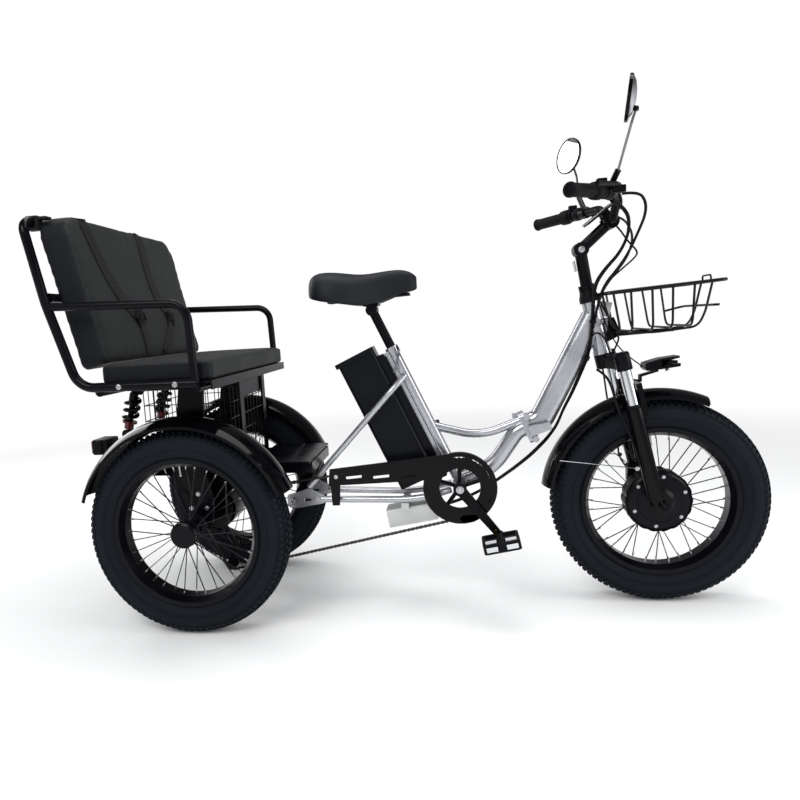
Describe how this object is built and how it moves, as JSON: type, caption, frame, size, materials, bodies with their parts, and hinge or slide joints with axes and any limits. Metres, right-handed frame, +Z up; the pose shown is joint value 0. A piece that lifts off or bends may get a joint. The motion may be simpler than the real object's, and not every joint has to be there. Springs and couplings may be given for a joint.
{
  "type": "electric fat tire tricycle",
  "caption": "Folding electric cargo and passenger tricycle with fat tyres, a step-through frame, a saddle, a rear bench with armrests, wire baskets and mudguards.",
  "frame": {"origin": "on the floor, midway between the front tyre's nose and the tail lamp's back, on the centre plane", "axes": "+X forward, +Y to the rider's left, +Z up"},
  "size_m": [2.012, 0.803, 1.3789],
  "materials": {
    "silver_frame": "satin silver paint",
    "black_steel": "satin black powder coat",
    "black_alloy": "satin black",
    "wheel_black": "gloss black",
    "tyre": "matte blue-black rubber",
    "gloss_black": "gloss black",
    "matte_black": "matte black",
    "battery_black": "satin black case",
    "seat_fabric": "black leatherette",
    "steel": "bright steel",
    "wire": "black coated wire",
    "lamp_red": "red lens in a black case",
    "cable": "black cable sleeve"
  },
  "bodies": {
    "rear_frame": {"seat_tube": "silver_frame", "lower_tube": "silver_frame", "upper_tube": "silver_frame", "seat_stays": "silver_frame", "chain_stays": "silver_frame", "seat_post": "steel", "saddle": "seat_fabric", "battery": "battery_black", "controller_box": "matte_black", "chain": "steel", "chain_guard": "gloss_black", "cassette": "steel", "derailleur": "steel", "axle_housing": "black_steel", "carriage_rails": "black_steel", "carriage_cross": "black_steel", "axle_hangers": "black_steel", "side_struts": "black_steel", "shocks": "steel", "seat_sides": "black_steel", "seat_base": "black_steel", "seat_backs": "black_steel", "seat_cushion": "seat_fabric", "back_cushion": "seat_fabric", "seat_support": "black_steel", "rear_basket": "wire", "footboard": "black_steel", "tail_light": "lamp_red", "rear_fenders": "gloss_black", "cable_rear": "cable"},
    "front_frame": {"front_frame": "silver_frame", "fold_latch": "silver_frame", "front_basket": "wire", "cable_front": "cable"},
    "steering": {"fork_crown": "black_alloy", "fork_lowers": "black_alloy", "front_axle": "steel", "front_fender": "gloss_black", "headlight": "gloss_black", "stem": "black_alloy", "handlebar": "black_alloy", "grips": "matte_black", "brake_levers": "black_alloy", "display": "matte_black", "mirrors": "gloss_black", "brake_caliper": "black_alloy", "cable_bars": "cable"},
    "front_wheel": {"tyre_front": "tyre", "wheel_front": "wheel_black", "brake_disc": "steel"},
    "rear_wheel_right": {"tyre_rear_right": "tyre", "wheel_rear_right": "wheel_black"},
    "rear_wheel_left": {"tyre_rear_left": "tyre", "wheel_rear_left": "wheel_black"},
    "crank": {"crank_set": "black_alloy"},
    "pedal_right": {"pedal_right": "matte_black"},
    "pedal_left": {"pedal_left": "matte_black"}
  },
  "joints": [
    {"name": "frame_fold", "type": "hinge", "parent": "rear_frame", "child": "front_frame", "pos_m": [0.39097, 0.043, 0.509], "axis": [0, 0, 1], "range_deg": [0, 90]},
    {"name": "steering", "type": "hinge", "parent": "front_frame", "child": "steering", "pos_m": [0.574, 0, 0.718], "axis": [-0.213, 0, 0.977], "range_deg": [-40, 40]},
    {"name": "front_wheel_spin", "type": "hinge", "parent": "steering", "child": "front_wheel", "pos_m": [0.716, 0, 0.29], "axis": [0, 1, 0], "continuous": true},
    {"name": "rear_wheel_right_spin", "type": "hinge", "parent": "rear_frame", "child": "rear_wheel_right", "pos_m": [-0.576, -0.27, 0.29], "axis": [0, 1, 0], "continuous": true},
    {"name": "rear_wheel_left_spin", "type": "hinge", "parent": "rear_frame", "child": "rear_wheel_left", "pos_m": [-0.576, 0.27, 0.29], "axis": [0, 1, 0], "continuous": true},
    {"name": "crank_spin", "type": "hinge", "parent": "rear_frame", "child": "crank", "pos_m": [0.17, 0, 0.352], "axis": [0, 1, 0], "continuous": true},
    {"name": "pedal_right_spin", "type": "hinge", "parent": "crank", "child": "pedal_right", "pos_m": [0.27536, 0, 0.21859], "axis": [0, 1, 0], "continuous": true},
    {"name": "pedal_left_spin", "type": "hinge", "parent": "crank", "child": "pedal_left", "pos_m": [0.06464, 0, 0.48541], "axis": [0, 1, 0], "continuous": true}
  ]
}
